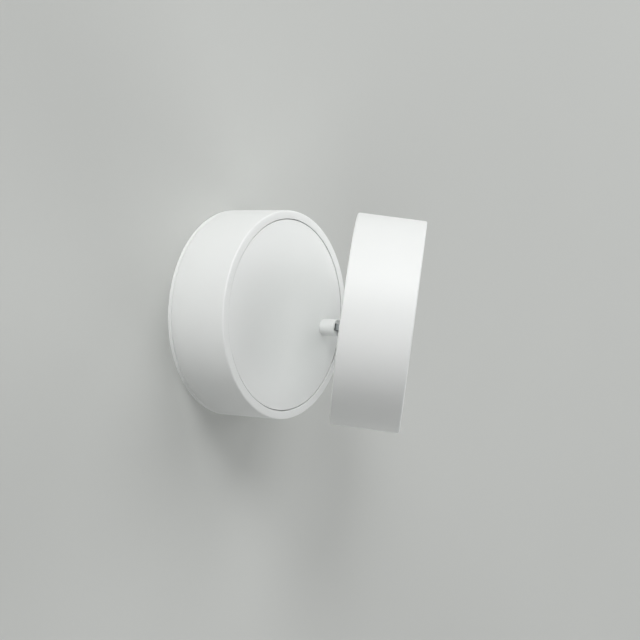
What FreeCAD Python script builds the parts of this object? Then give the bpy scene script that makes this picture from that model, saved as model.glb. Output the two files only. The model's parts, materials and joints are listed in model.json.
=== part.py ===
import FreeCAD, Part
import math
import os
import Sketcher
from FreeCAD import Placement, Rotation, Vector

# Pivoting spotlight wall light: a round base and an equal round head, joined off centre by a stem.
# Millimetres. The wall is the plane Y = 0, the room is towards -Y, and Z is up.
# The origin is the middle of the wall plate's back. The head is built closed against the base,
# with its back centre at its own origin, and is then set at its resting tilt.

doc = FreeCAD.newDocument("DiscSpotlight")
sheet = doc.addObject("Spreadsheet::Sheet", "Sizes")
size = {}
nodes = []


def dim(name, value):
    """Put a size in the sheet under its own name."""
    size[name] = value
    row = len(size)
    sheet.set(f"A{row}", name)
    sheet.set(f"B{row}", repr(round(value, 6)))
    sheet.setAlias(f"B{row}", name)
    return value


# Driving sizes of both discs.
disc_radius = dim("disc_radius", 60.0)
disc_depth = dim("disc_depth", 39.0)
shell_wall = dim("shell_wall", 3.0)
back_wall = dim("back_wall", 2.5)
rim_width = dim("rim_width", 4.85)
seam_gap = dim("seam_gap", 0.4)
disc_recess = dim("disc_recess", 0.3)
disc_thickness = dim("disc_thickness", 2.5)
ledge_width = dim("ledge_width", 7.5)
ledge_thickness = dim("ledge_thickness", 2.0)
outer_round = dim("outer_round", 0.8)
seam_bevel = dim("seam_bevel", 0.3)

# Driving sizes of the wall plate and what stands on it.
plate_thickness = dim("plate_thickness", 2.0)
plate_seam = dim("plate_seam", 0.4)
spigot_height = dim("spigot_height", 6.0)
spigot_wall = dim("spigot_wall", 2.2)
spigot_clearance = dim("spigot_clearance", 0.2)
grub_height = dim("grub_height", 3.6)
grub_sink = dim("grub_sink", 0.75)
wall_slot_spacing = dim("wall_slot_spacing", 60.0)
wall_slot_length = dim("wall_slot_length", 12.0)
wall_slot_width = dim("wall_slot_width", 4.6)
cable_hole_radius = dim("cable_hole_radius", 8.0)
grommet_bore_radius = dim("grommet_bore_radius", 5.0)
grommet_lip = dim("grommet_lip", 2.0)
grommet_lip_height = dim("grommet_lip_height", 1.6)
terminal_length = dim("terminal_length", 20.0)
terminal_width = dim("terminal_width", 14.0)
terminal_height = dim("terminal_height", 12.0)
terminal_pitch = dim("terminal_pitch", 9.0)
terminal_centre_z = dim("terminal_centre_z", 27.0)
terminal_notch = dim("terminal_notch", 1.25)
wire_hole_radius = dim("wire_hole_radius", 1.6)
wire_hole_height = dim("wire_hole_height", 4.8)
terminal_screw_radius = dim("terminal_screw_radius", 1.7)
terminal_screw_height = dim("terminal_screw_height", 6.6)
terminal_screw_length = dim("terminal_screw_length", 4.2)
earth_screw_x = dim("earth_screw_x", -25.0)
earth_screw_z = dim("earth_screw_z", 27.0)

# Driving sizes of the stem, the swivel and the hinge.
stem_inset = dim("stem_inset", 22.0)
stem_radius = dim("stem_radius", 5.0)
stem_length = dim("stem_length", 10.0)
stem_gap = dim("stem_gap", 0.15)
stem_mouth_radius = dim("stem_mouth_radius", 3.9)
stem_mouth_depth = dim("stem_mouth_depth", 2.5)
spindle_radius = dim("spindle_radius", 3.6)
lead_bore_radius = dim("lead_bore_radius", 1.6)
tongue_bore_radius = dim("tongue_bore_radius", 1.2)
tongue_bore_depth = dim("tongue_bore_depth", 7.0)
running_clearance = dim("running_clearance", 0.05)
push_clearance = dim("push_clearance", 0.02)
bush_wall = dim("bush_wall", 1.0)
bush_flange = dim("bush_flange", 2.4)
washer_thickness = dim("washer_thickness", 0.8)
washer_radius = dim("washer_radius", 6.4)
nut_flats = dim("nut_flats", 12.0)
nut_height = dim("nut_height", 4.0)
stop_reach = dim("stop_reach", 9.4)
stop_width = dim("stop_width", 2.0)
stop_pin_radius = dim("stop_pin_radius", 0.8)
hinge_reach = dim("hinge_reach", 21.4)
hinge_depth = dim("hinge_depth", 5.0)
tongue_thickness = dim("tongue_thickness", 3.6)
tongue_width = dim("tongue_width", 6.4)
tongue_spigot_radius = dim("tongue_spigot_radius", 3.2)
tongue_spigot_length = dim("tongue_spigot_length", 5.0)
pin_radius = dim("pin_radius", 1.5)
pin_head_radius = dim("pin_head_radius", 2.4)
pin_head_height = dim("pin_head_height", 1.2)
pin_tail = dim("pin_tail", 1.5)
pin_room_depth = dim("pin_room_depth", 3.0)
pin_clip_thickness = dim("pin_clip_thickness", 0.6)
rest_tilt = dim("rest_tilt", 32.0)
largest_tilt = dim("largest_tilt", 40.0)
slot_clearance = dim("slot_clearance", 0.5)
friction_washer = dim("friction_washer", 0.5)
cheek_thickness = dim("cheek_thickness", 2.0)
bracket_rise = dim("bracket_rise", 8.2)
bracket_width = dim("bracket_width", 12.0)
bracket_foot = dim("bracket_foot", 8.0)
foot_screw_reach = dim("foot_screw_reach", 4.3)

# Driving sizes of the driver.
driver_rim_gap = dim("driver_rim_gap", 6.5)
driver_stem_gap = dim("driver_stem_gap", 5.6)
driver_width = dim("driver_width", 38.0)
driver_height = dim("driver_height", 18.0)
driver_wall = dim("driver_wall", 1.6)
driver_lid_thickness = dim("driver_lid_thickness", 1.6)
lug_length = dim("lug_length", 7.0)
lug_setback = dim("lug_setback", 10.5)
board_thickness = dim("board_thickness", 1.6)
board_gap = dim("board_gap", 0.5)
coil_length = dim("coil_length", 18.0)
coil_width = dim("coil_width", 16.0)
capacitor_radius = dim("capacitor_radius", 4.0)
capacitor_setback = dim("capacitor_setback", 11.0)

# Driving sizes of the light source and the optics.
opening_radius = dim("opening_radius", 30.0)
opening_flare = dim("opening_flare", 1.5)
glass_thickness = dim("glass_thickness", 2.0)
glass_overlap = dim("glass_overlap", 3.0)
glass_clearance = dim("glass_clearance", 0.3)
retainer_width = dim("retainer_width", 6.0)
retainer_thickness = dim("retainer_thickness", 1.6)
reflector_wall = dim("reflector_wall", 0.8)
reflector_throat = dim("reflector_throat", 7.0)
reflector_gap = dim("reflector_gap", 0.7)
reflector_rings = 5
chip_radius = dim("chip_radius", 5.5)
chip_height = dim("chip_height", 0.8)
led_board_radius = dim("led_board_radius", 12.0)
holder_radius = dim("holder_radius", 15.0)
holder_height = dim("holder_height", 2.6)
sink_radius = dim("sink_radius", 29.0)
sink_plate = dim("sink_plate", 3.5)
fin_radius = dim("fin_radius", 23.0)
fin_height = dim("fin_height", 8.0)
fin_thickness = dim("fin_thickness", 1.6)
fin_pitch = dim("fin_pitch", 6.4)
fin_gap = dim("fin_gap", 2.0)
fin_count = 7
sink_bite = dim("sink_bite", 4.0)
post_circle = dim("post_circle", 26.0)
post_radius = dim("post_radius", 2.4)
clip_count = 3
first_clip_angle = 60
clip_width = dim("clip_width", 8.0)
clip_thickness = dim("clip_thickness", 1.2)
clip_hook = dim("clip_hook", 1.4)
clip_clearance = dim("clip_clearance", 0.3)

# Driving sizes of the screws and the leads.
small_shank = dim("small_shank", 1.25)
small_head = dim("small_head", 2.3)
small_head_height = dim("small_head_height", 1.4)
screw_clearance = dim("screw_clearance", 0.25)
earth_shank = dim("earth_shank", 2.0)
earth_head = dim("earth_head", 3.8)
earth_head_height = dim("earth_head_height", 2.6)
lead_radius = dim("lead_radius", 0.9)
lead_entry_height = dim("lead_entry_height", 7.2)
supply_loop = dim("supply_loop", 10.0)
driver_lead_setback = dim("driver_lead_setback", 7.0)
driver_lead_height = dim("driver_lead_height", 6.0)
head_lead_gap = dim("head_lead_gap", 3.0)
head_lead_bend_z = dim("head_lead_bend_z", 20.0)
head_lead_sweep = dim("head_lead_sweep", 8.0)
head_lead_angle = 36
lead_sides = 8
lead_turn = 0.45

# The stem stands a fixed way in from the rim.
stem_offset = dim("stem_offset", disc_radius - stem_inset)

# Levels along -Y, from the wall to the front of the base.
bore_radius = dim("bore_radius", disc_radius - shell_wall)
rim_bore = dim("rim_bore", disc_radius - rim_width)
inset_radius = dim("inset_radius", rim_bore - seam_gap)
ledge_bore = dim("ledge_bore", bore_radius - ledge_width)
spigot_radius = dim("spigot_radius", bore_radius - spigot_clearance)
spigot_bore = dim("spigot_bore", spigot_radius - spigot_wall)
spigot_top = dim("spigot_top", plate_thickness + spigot_height)
shell_back = dim("shell_back", plate_thickness + plate_seam)
inset_face = dim("inset_face", disc_depth - disc_recess)
inset_back = dim("inset_back", inset_face - disc_thickness)
ledge_back = dim("ledge_back", inset_back - ledge_thickness)
grub_level = dim("grub_level", plate_thickness + grub_height)

# The stem stands on the inset face, and its spindle runs back through the bush and the stack.
stem_root = dim("stem_root", inset_face + stem_gap)
stem_end = dim("stem_end", disc_depth + stem_length)
hinge_y = dim("hinge_y", disc_depth + hinge_reach)
bush_radius = dim("bush_radius", spindle_radius + running_clearance + bush_wall)
bush_flange_radius = dim("bush_flange_radius", bush_radius + bush_flange)
bush_back = dim("bush_back", inset_back - bush_wall)
stop_back = dim("stop_back", bush_back - washer_thickness)
wave_back = dim("wave_back", stop_back - washer_thickness)
flat_back = dim("flat_back", wave_back - washer_thickness)
nut_back = dim("nut_back", flat_back - nut_height)
spindle_back = dim("spindle_back", nut_back - washer_thickness)
washer_bore = dim("washer_bore", spindle_radius + push_clearance)
mouth_floor = dim("mouth_floor", stem_end - stem_mouth_depth)
socket_bottom = dim("socket_bottom", mouth_floor - tongue_spigot_length)
pin_bore = dim("pin_bore", pin_radius + running_clearance)
cheek_bore = dim("cheek_bore", pin_radius + push_clearance)
cheek_inside = dim("cheek_inside", tongue_thickness / 2 + friction_washer + running_clearance)
cheek_outside = dim("cheek_outside", cheek_inside + cheek_thickness)
foot_outside = dim("foot_outside", cheek_outside + bracket_foot)

# Levels inside the head, from its back towards its front.
fin_back = dim("fin_back", back_wall + fin_gap)
sink_back = dim("sink_back", fin_back + fin_height)
sink_front = dim("sink_front", sink_back + sink_plate)
led_face = dim("led_face", sink_front + board_thickness)
glass_back = dim("glass_back", inset_back - glass_thickness)
holder_front = dim("holder_front", led_face + holder_height)
reflector_front = dim("reflector_front", glass_back - glass_clearance)
reflector_back = dim("reflector_back", holder_front + reflector_gap)
reflector_depth = dim("reflector_depth", reflector_front - reflector_back)
glass_radius = dim("glass_radius", opening_radius + glass_overlap)
retainer_bore = dim("retainer_bore", glass_radius + glass_clearance)
retainer_radius = dim("retainer_radius", retainer_bore + retainer_width)
retainer_back = dim("retainer_back", glass_back - retainer_thickness)
reflector_mouth = dim("reflector_mouth", opening_radius - glass_clearance)
slot_lean = math.tan(math.radians(largest_tilt)) * hinge_depth
tongue_slant = tongue_width / 2 / math.cos(math.radians(largest_tilt))
slot_near = dim("slot_near", stem_offset - tongue_width / 2 - slot_clearance)
slot_far = dim("slot_far", stem_offset + slot_lean + tongue_slant + slot_clearance)
slot_half = dim("slot_half", cheek_inside + slot_clearance / 2)

# The head's place: its hinge axis meets the tongue's eye.
tilt = math.radians(rest_tilt)
hinge_local_y = -hinge_depth
head_x = dim("head_x", stem_offset - stem_offset * math.cos(tilt) + hinge_local_y * math.sin(tilt))
head_y = dim("head_y", -hinge_y - stem_offset * math.sin(tilt) - hinge_local_y * math.cos(tilt))


def reading(alias):
    """The expression that reads a named size. A leading minus reads it backwards."""
    if alias == "0":
        return "0"
    sign = "-" if alias.startswith("-") else ""
    return f"{sign}<<Sizes>>.{alias.lstrip('-')}"


def bind(feature, **properties):
    """Tie properties to named sizes."""
    for name, alias in properties.items():
        feature.setExpression(name.replace("_at_", "."), reading(alias))


def value(alias):
    """The number behind a named size, for a sketch's first guess."""
    if alias == "0":
        return 0.0
    number = size[alias.lstrip("-")]
    return -number if alias.startswith("-") else number


def move(feature, x="0", y="0", z="0"):
    """Place a feature at named sizes."""
    places = {"x": x, "y": y, "z": z}
    named = {f"Placement_at_Base_at_{axis}": alias for axis, alias in places.items() if alias != "0"}
    bind(feature, **named)
    return feature


def keep(feature, label, in_head=False):
    """Name a finished sub-part, and set it in the tilted head where it belongs there."""
    feature.Label = label
    if in_head:
        feature.Placement = Placement(Vector(0, 0, 0), Rotation(Vector(0, 0, 1), rest_tilt))
        move(feature, x="head_x", y="head_y")
        bind(feature, Placement_at_Rotation_at_Angle="rest_tilt")
    nodes.append(feature)
    return feature


def rod(name, radius, start, length, x="0", z="0"):
    """A round rod along -Y, from a level and of a length."""
    solid = doc.addObject("Part::Cylinder", name)
    bind(solid, Radius=radius, Height=length)
    solid.Placement = Placement(Vector(0, 0, 0), Rotation(Vector(1, 0, 0), 90))
    return move(solid, x=x, y=start, z=z)


def block(name, x, y, z):
    """A box between pairs of named levels on each axis."""
    solid = doc.addObject("Part::Box", name)
    for axis, side, (low, high) in (("x", "Length", x), ("y", "Width", y), ("z", "Height", z)):
        solid.setExpression(side, f"{reading(high)} - ({reading(low)})")
        solid.setExpression(f"Placement.Base.{axis}", reading(low))
    return solid


def join(name, shapes):
    """One solid, or a group, from several."""
    whole = doc.addObject("Part::MultiFuse", name)
    whole.Shapes = shapes
    return whole


def group(name, shapes):
    """Separate solids kept together under one name."""
    whole = doc.addObject("Part::Compound", name)
    whole.Links = shapes
    return whole


def cut(name, base, tools):
    """Take one or more tools out of a solid."""
    result = doc.addObject("Part::Cut", name)
    result.Base = base
    result.Tool = tools[0] if len(tools) == 1 else join(name + "Tools", tools)
    return result


def around(name, radius, start, length, circle, angles):
    """Rods along -Y, spread on a circle about the Y axis."""
    rods = []
    for number, angle in enumerate(angles):
        solid = doc.addObject("Part::Cylinder", f"{name}{number + 1}")
        bind(solid, Radius=radius, Height=length)
        solid.Placement = Placement(Vector(0, 0, 0), Rotation(Vector(1, 0, 0), 90))
        bind(solid, Placement_at_Base_at_y=start)
        solid.setExpression("Placement.Base.x", f"<<Sizes>>.{circle} * cos({angle} deg)")
        solid.setExpression("Placement.Base.z", f"<<Sizes>>.{circle} * sin({angle} deg)")
        rods.append(solid)
    return rods


def turned(name, profile):
    """A body turned about the Y axis from corners given as radius and level."""
    body = doc.addObject("PartDesign::Body", name)
    sketch = body.newObject("Sketcher::SketchObject", name + "Profile")
    plane = next(item for item in body.Origin.OriginFeatures if item.Role == "XY_Plane")
    sketch.AttachmentSupport = [(plane, "")]
    sketch.MapMode = "FlatFace"
    corners = [Vector(value(radius), value(level), 0) for radius, level in profile]
    count = len(corners)
    for index in range(count):
        sketch.addGeometry(Part.LineSegment(corners[index], corners[(index + 1) % count]), False)
    for index in range(count):
        sketch.addConstraint(Sketcher.Constraint("Coincident", index, 2, (index + 1) % count, 1))
    for index, (radius, level) in enumerate(profile):
        for kind, alias, axis in (("DistanceX", radius, -2), ("DistanceY", level, -1)):
            if alias == "0":
                sketch.addConstraint(Sketcher.Constraint("PointOnObject", index, 1, axis))
                continue
            rule = Sketcher.Constraint(kind, -1, 1, index, 1, value(alias))
            number = sketch.addConstraint(rule)
            bind(sketch, **{f"Constraints[{number}]": alias})
    spin = body.newObject("PartDesign::Revolution", name + "Turned")
    spin.Profile = sketch
    spin.ReferenceAxis = (sketch, ["V_Axis"])
    spin.Angle = 360.0
    doc.recompute()
    return body


def soften(body, kind, amount, rings):
    """Fillet or chamfer the circular edges of a turned body, each given by its radius and level."""
    base = body.Tip
    names = []
    for index, edge in enumerate(base.Shape.Edges):
        curve = edge.Curve
        if not isinstance(curve, Part.Circle):
            continue
        for ring_radius, level in rings:
            same_radius = abs(curve.Radius - value(ring_radius)) < 0.01
            if same_radius and abs(curve.Center.y - value(level)) < 0.01:
                names.append(f"Edge{index + 1}")
    edge_feature = body.newObject(f"PartDesign::{kind}", f"{body.Name}{kind}")
    edge_feature.Base = (base, names)
    bind(edge_feature, **{"Radius" if kind == "Fillet" else "Size": amount})
    doc.recompute()


def screw(name, kind, start, shank_length, faces_wall):
    """A pan-head screw along Y, whose head seats at a level and faces the wall or the room."""
    shank = rod(name + "Shank", kind + "_shank", start, shank_length)
    head = rod(name + "Head", kind + "_head", start, kind + "_head_height")
    backwards = head if faces_wall else shank
    backwards.Placement = Placement(Vector(0, 0, 0), Rotation(Vector(1, 0, 0), -90))
    return join(name, [shank, head])


def spread(name, solid, circle, angles):
    """Copies of one solid on a circle about the Y axis, kept as separate solids."""
    copies = []
    for number, angle in enumerate(angles):
        copy = doc.addObject("Part::Compound", f"{name}{number + 1}")
        copy.Links = [solid]
        copy.setExpression("Placement.Base.x", f"<<Sizes>>.{circle} * cos({angle} deg)")
        copy.setExpression("Placement.Base.z", f"<<Sizes>>.{circle} * sin({angle} deg)")
        copies.append(copy)
    return group(name, copies)


def lead(points):
    """A slim lead along straight runs joined by tangent arcs, its section a regular polygon."""
    spots = [Vector(*point) for point in points]
    edges = []
    start = spots[0]
    for index in range(1, len(spots) - 1):
        before = spots[index - 1] - spots[index]
        after = spots[index + 1] - spots[index]
        reach = lead_turn * min(before.Length, after.Length)
        arc_start = spots[index] + before.normalize() * reach
        arc_end = spots[index] + after.normalize() * reach
        half = before.getAngle(after) / 2
        curve_radius = reach * math.tan(half)
        middle_way = (before + after).normalize()
        middle = spots[index] + middle_way * (curve_radius / math.sin(half) - curve_radius)
        edges.append(Part.LineSegment(start, arc_start).toShape())
        edges.append(Part.Arc(arc_start, middle, arc_end).toShape())
        start = arc_end
    edges.append(Part.LineSegment(start, spots[-1]).toShape())
    path = Part.Wire(edges)
    ring = Part.Circle(spots[0], spots[1] - spots[0], lead_radius)
    corners = [ring.value(math.tau * number / lead_sides) for number in range(lead_sides)]
    section = Part.makePolygon(corners + corners[:1])
    return path.makePipeShell([section], True, False)


# Places that several pieces share.
over_cut = dim("over_cut", 1.0)
plate_cut = dim("plate_cut", plate_thickness + 2 * over_cut)
wall_slot_radius = dim("wall_slot_radius", wall_slot_width / 2)
wall_slot_near = dim("wall_slot_near", wall_slot_spacing / 2 - wall_slot_length / 2 + wall_slot_radius)
wall_slot_far = dim("wall_slot_far", wall_slot_spacing / 2 + wall_slot_length / 2 - wall_slot_radius)
wall_slot_bottom = dim("wall_slot_bottom", plate_thickness + over_cut)
earth_hole = dim("earth_hole", earth_shank + push_clearance)
grub_radius = dim("grub_radius", small_shank)
grub_hole = dim("grub_hole", grub_radius + push_clearance)
grub_angles = (75, -75)
cover_screw_circle = dim("cover_screw_circle", (ledge_bore + inset_radius) / 2)
cover_screw_angles = (45, 135, 225, 315)
screw_bite = dim("screw_bite", 1.8)
screw_hole = dim("screw_hole", small_shank + screw_clearance)
thread_hole = dim("thread_hole", small_shank + push_clearance)


def radial_rod(name, radius, inner, length, level, angle):
    """A round rod along a radius of the disc, from an inner radius outwards."""
    solid = doc.addObject("Part::Cylinder", name)
    bind(solid, Radius=radius, Height=length)
    solid.Placement = Placement(Vector(0, 0, 0), Rotation(Vector(0, 1, 0), 90 - angle))
    bind(solid, Placement_at_Base_at_y=level)
    solid.setExpression("Placement.Base.x", f"<<Sizes>>.{inner} * cos({angle} deg)")
    solid.setExpression("Placement.Base.z", f"<<Sizes>>.{inner} * sin({angle} deg)")
    return solid


def pin_rod(name, radius, low, high_length, x, y):
    """A round rod along Z."""
    solid = doc.addObject("Part::Cylinder", name)
    bind(solid, Radius=radius, Height=high_length)
    return move(solid, x=x, y=y, z=low)


def ring(name, bore, radius, start, length, x="0"):
    """A flat washer about a Y line."""
    outer = rod(name + "Outer", radius, start, length, x=x)
    inner = rod(name + "Inner", bore, start, length, x=x)
    return cut(name, outer, [inner])


def wall_plate():
    body = turned("WallPlateBody", [
        ("cable_hole_radius", "0"), ("disc_radius", "0"),
        ("disc_radius", "-plate_thickness"), ("spigot_radius", "-plate_thickness"),
        ("spigot_radius", "-spigot_top"), ("spigot_bore", "-spigot_top"),
        ("spigot_bore", "-plate_thickness"), ("cable_hole_radius", "-plate_thickness"),
    ])
    soften(body, "Chamfer", "seam_bevel", [("disc_radius", "-plate_thickness")])
    tools = []
    for side, low, high in (("Right", "wall_slot_near", "wall_slot_far"),
                            ("Left", "-wall_slot_far", "-wall_slot_near")):
        tools.append(block("WallSlot" + side, (low, high), ("-wall_slot_bottom", "over_cut"),
                           ("-wall_slot_radius", "wall_slot_radius")))
        for end in (low, high):
            name = f"WallSlotEnd{side}{len(tools)}"
            tools.append(rod(name, "wall_slot_radius", "over_cut", "plate_cut", x=end))
    tools.append(rod("EarthHole", "earth_hole", "over_cut", "plate_cut",
                     x="earth_screw_x", z="earth_screw_z"))
    for number, angle in enumerate(grub_angles):
        tools.append(radial_rod(f"PlateGrubHole{number}", "grub_hole", "spigot_bore",
                                "shell_wall", "-grub_level", angle))
    keep(cut("WallPlate", body, tools), "wall_plate")


def cable_grommet():
    dim("grommet_lip_radius", cable_hole_radius + grommet_lip)
    dim("grommet_body_radius", cable_hole_radius - push_clearance)
    dim("grommet_top", plate_thickness + grommet_lip_height)
    body = turned("CableGrommet", [
        ("grommet_bore_radius", "0"), ("grommet_body_radius", "0"),
        ("grommet_body_radius", "-plate_thickness"), ("grommet_lip_radius", "-plate_thickness"),
        ("grommet_lip_radius", "-grommet_top"), ("grommet_bore_radius", "-grommet_top"),
    ])
    keep(body, "cable_grommet")


def terminal_block():
    dim("terminal_half", terminal_length / 2)
    dim("terminal_top", plate_thickness + terminal_height)
    dim("terminal_low", terminal_centre_z - terminal_width / 2)
    dim("terminal_high", terminal_centre_z + terminal_width / 2)
    dim("terminal_wire_level", plate_thickness + wire_hole_height)
    dim("terminal_screw_level", plate_thickness + terminal_screw_height)
    dim("pole_x", terminal_pitch / 2)
    housing = block("TerminalHousing", ("-terminal_half", "terminal_half"),
                    ("-terminal_top", "-plate_thickness"), ("terminal_low", "terminal_high"))
    notch = block("TerminalNotch", ("-terminal_notch", "terminal_notch"),
                  ("-terminal_top", "-terminal_screw_level"), ("terminal_low", "terminal_high"))
    tools = [notch]
    for side in ("pole_x", "-pole_x"):
        name = f"TerminalWell{len(tools)}"
        tools.append(rod(name, "terminal_screw_radius", "-terminal_screw_level",
                         "terminal_height", x=side, z="terminal_centre_z"))
        tools.append(pin_rod(name + "Wire", "wire_hole_radius", "terminal_low",
                             "terminal_width", side, "-terminal_wire_level"))
    keep(cut("TerminalBlock", housing, tools), "terminal_block")
    dim("terminal_screw_body", terminal_screw_radius - push_clearance)
    screws = []
    for number, side in enumerate(("pole_x", "-pole_x")):
        name = f"TerminalScrew{number}"
        screws.append(rod(name, "terminal_screw_body", "-terminal_screw_level",
                          "terminal_screw_length", x=side, z="terminal_centre_z"))
    keep(group("TerminalScrews", screws), "terminal_screws")


def earth_screw():
    solid = screw("EarthScrew", "earth", "-plate_thickness", "plate_thickness", False)
    keep(move(solid, x="earth_screw_x", z="earth_screw_z"), "earth_screw")


def base_shell():
    body = turned("BaseShellBody", [
        ("bore_radius", "-shell_back"), ("disc_radius", "-shell_back"),
        ("disc_radius", "-disc_depth"), ("rim_bore", "-disc_depth"),
        ("rim_bore", "-inset_back"), ("ledge_bore", "-inset_back"),
        ("ledge_bore", "-ledge_back"), ("bore_radius", "-ledge_back"),
    ])
    soften(body, "Fillet", "outer_round", [("disc_radius", "-disc_depth")])
    soften(body, "Chamfer", "seam_bevel", [("rim_bore", "-disc_depth"), ("disc_radius", "-shell_back")])
    tools = around("LedgeHole", "screw_hole", "-ledge_back", "ledge_thickness",
                   "cover_screw_circle", cover_screw_angles)
    for number, angle in enumerate(grub_angles):
        tools.append(radial_rod(f"ShellGrubHole{number}", "grub_hole", "spigot_bore",
                                "ledge_width", "-grub_level", angle))
    keep(cut("BaseShell", body, tools), "base_shell")


def shell_grub_screws():
    dim("grub_length", disc_radius - spigot_bore - grub_sink)
    screws = [radial_rod(f"GrubScrew{number}", "grub_radius", "spigot_bore", "grub_length",
                         "-grub_level", angle) for number, angle in enumerate(grub_angles)]
    keep(group("ShellGrubScrews", screws), "shell_grub_screws")


def base_cover():
    dim("bush_hole", bush_radius + push_clearance)
    dim("stop_pin_x", stem_offset - bush_flange_radius - stop_pin_radius - screw_clearance)
    dim("stop_pin_hole", stop_pin_radius + push_clearance)
    body = turned("BaseCoverBody", [
        ("0", "-inset_back"), ("inset_radius", "-inset_back"),
        ("inset_radius", "-inset_face"), ("0", "-inset_face"),
    ])
    soften(body, "Chamfer", "seam_bevel", [("inset_radius", "-inset_face")])
    tools = around("CoverHole", "thread_hole", "-inset_back", "screw_bite",
                   "cover_screw_circle", cover_screw_angles)
    tools.append(rod("BushHole", "bush_hole", "-inset_back", "disc_thickness", x="stem_offset"))
    tools.append(rod("StopPinHole", "stop_pin_hole", "-inset_back", "screw_bite", x="stop_pin_x"))
    for number, (x, z) in enumerate(driver_lugs):
        tools.append(rod(f"LugHole{number}", "thread_hole", "-inset_back", "screw_bite", x=x, z=z))
    keep(cut("BaseCover", body, tools), "base_cover")


def cover_screws():
    dim("cover_screw_length", ledge_thickness + screw_bite)
    solid = screw("CoverScrew", "small", "-ledge_back", "cover_screw_length", True)
    keep(spread("CoverScrews", solid, "cover_screw_circle", cover_screw_angles), "cover_screws")


def stop_pin():
    dim("stop_pin_start", stop_back - screw_clearance)
    dim("stop_pin_length", inset_back + screw_bite - stop_back + screw_clearance)
    solid = rod("StopPin", "stop_pin_radius", "-stop_pin_start", "stop_pin_length", x="stop_pin_x")
    keep(solid, "stop_pin")


def swivel_bush():
    dim("bush_bore", spindle_radius + running_clearance)
    body = turned("SwivelBush", [
        ("bush_bore", "-bush_back"), ("bush_flange_radius", "-bush_back"),
        ("bush_flange_radius", "-inset_back"), ("bush_radius", "-inset_back"),
        ("bush_radius", "-inset_face"), ("bush_bore", "-inset_face"),
    ])
    keep(move(body, x="stem_offset"), "swivel_bush")


# The driver fills the cover's back from near the rim to near the stem, with a lug on each long side.
driver_left = dim("driver_left", driver_rim_gap - ledge_bore)
driver_right = dim("driver_right", stem_offset - stop_reach - driver_stem_gap)
driver_centre_x = dim("driver_centre_x", (driver_left + driver_right) / 2)
driver_side = dim("driver_side", driver_width / 2)
driver_back = dim("driver_back", inset_back - driver_height)
driver_rim = dim("driver_rim", driver_back + driver_lid_thickness)
driver_floor = dim("driver_floor", inset_back - driver_wall)
lug_left = dim("lug_left", driver_left + lug_setback)
lug_right = dim("lug_right", driver_right - lug_setback)
lug_side = dim("lug_side", driver_side + lug_length / 2)
lug_level = dim("lug_level", inset_back - disc_thickness)
driver_lugs = (("lug_left", "lug_side"), ("lug_right", "-lug_side"))


def driver():
    dim("driver_inner_left", driver_left + driver_wall)
    dim("driver_inner_right", driver_right - driver_wall)
    dim("driver_inner_side", driver_side - driver_wall)
    dim("lug_outside", driver_side + lug_length)
    outside = block("DriverOutside", ("driver_left", "driver_right"),
                    ("-inset_back", "-driver_rim"), ("-driver_side", "driver_side"))
    inside = block("DriverInside", ("driver_inner_left", "driver_inner_right"),
                   ("-driver_floor", "-driver_rim"), ("-driver_inner_side", "driver_inner_side"))
    lugs = []
    holes = [inside]
    for number, (x, z) in enumerate(driver_lugs):
        middle = size[x]
        low = f"lug{number}_low"
        high = f"lug{number}_high"
        dim(low, middle - lug_length / 2)
        dim(high, middle + lug_length / 2)
        sides = ("driver_side", "lug_outside") if number == 0 else ("-lug_outside", "-driver_side")
        lugs.append(block(f"DriverLug{number}", (low, high), ("-inset_back", "-lug_level"), sides))
        holes.append(rod(f"DriverLugHole{number}", "screw_hole", "-lug_level", "disc_thickness",
                         x=x, z=z))
    holes += [pin_rod(f"DriverLeadHole{number}", "lead_radius", "driver_inner_side",
                      "driver_wall", x, "-lead_level") for number, x in enumerate(("pole_x", "-pole_x"))]
    keep(cut("DriverCase", join("DriverShell", [outside] + lugs), holes), "driver_case")
    lid = block("DriverLidPlate", ("driver_left", "driver_right"), ("-driver_rim", "-driver_back"),
                ("-driver_side", "driver_side"))
    hole = rod("DriverLidHole", "lead_radius", "-driver_back", "driver_lid_thickness",
               x="driver_lead_x")
    keep(cut("DriverLid", lid, [hole]), "driver_lid")
    dim("lug_screw_length", disc_thickness + screw_bite)
    screws = []
    for number, (x, z) in enumerate(driver_lugs):
        solid = screw(f"DriverScrew{number}", "small", "-lug_level", "lug_screw_length", True)
        screws.append(move(solid, x=x, z=z))
    keep(group("DriverScrews", screws), "driver_screws")


def driver_board():
    dim("board_left", driver_left + driver_wall + board_gap)
    dim("board_right", driver_right - driver_wall - board_gap)
    dim("board_side", driver_side - driver_wall - board_gap)
    dim("board_level", driver_floor - board_thickness)
    board = block("DriverBoardPlate", ("board_left", "board_right"),
                  ("-driver_floor", "-board_level"), ("-board_side", "board_side"))
    dim("coil_left", driver_centre_x - coil_length / 2)
    dim("coil_right", driver_centre_x + coil_length / 2)
    dim("coil_side", coil_width / 2)
    dim("coil_level", driver_rim + board_gap + board_thickness)
    dim("capacitor_length", driver_floor - driver_rim - board_gap - board_thickness)
    dim("capacitor_x", driver_right - capacitor_setback)
    coil = block("DriverCoil", ("coil_left", "coil_right"), ("-board_level", "-coil_level"),
                 ("-coil_side", "coil_side"))
    capacitor = rod("DriverCapacitor", "capacitor_radius", "-coil_level", "capacitor_length",
                    x="capacitor_x")
    keep(join("DriverBoard", [board, coil, capacitor]), "driver_board")


def lead_node(name, label, routes, in_head=False):
    """Leads clipped between housings, whole along their route."""
    solid = doc.addObject("Part::Feature", name)
    tubes = [lead(points) for points in routes]
    solid.Shape = tubes[0] if len(tubes) == 1 else Part.makeCompound(tubes)
    keep(solid, label, in_head)


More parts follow.
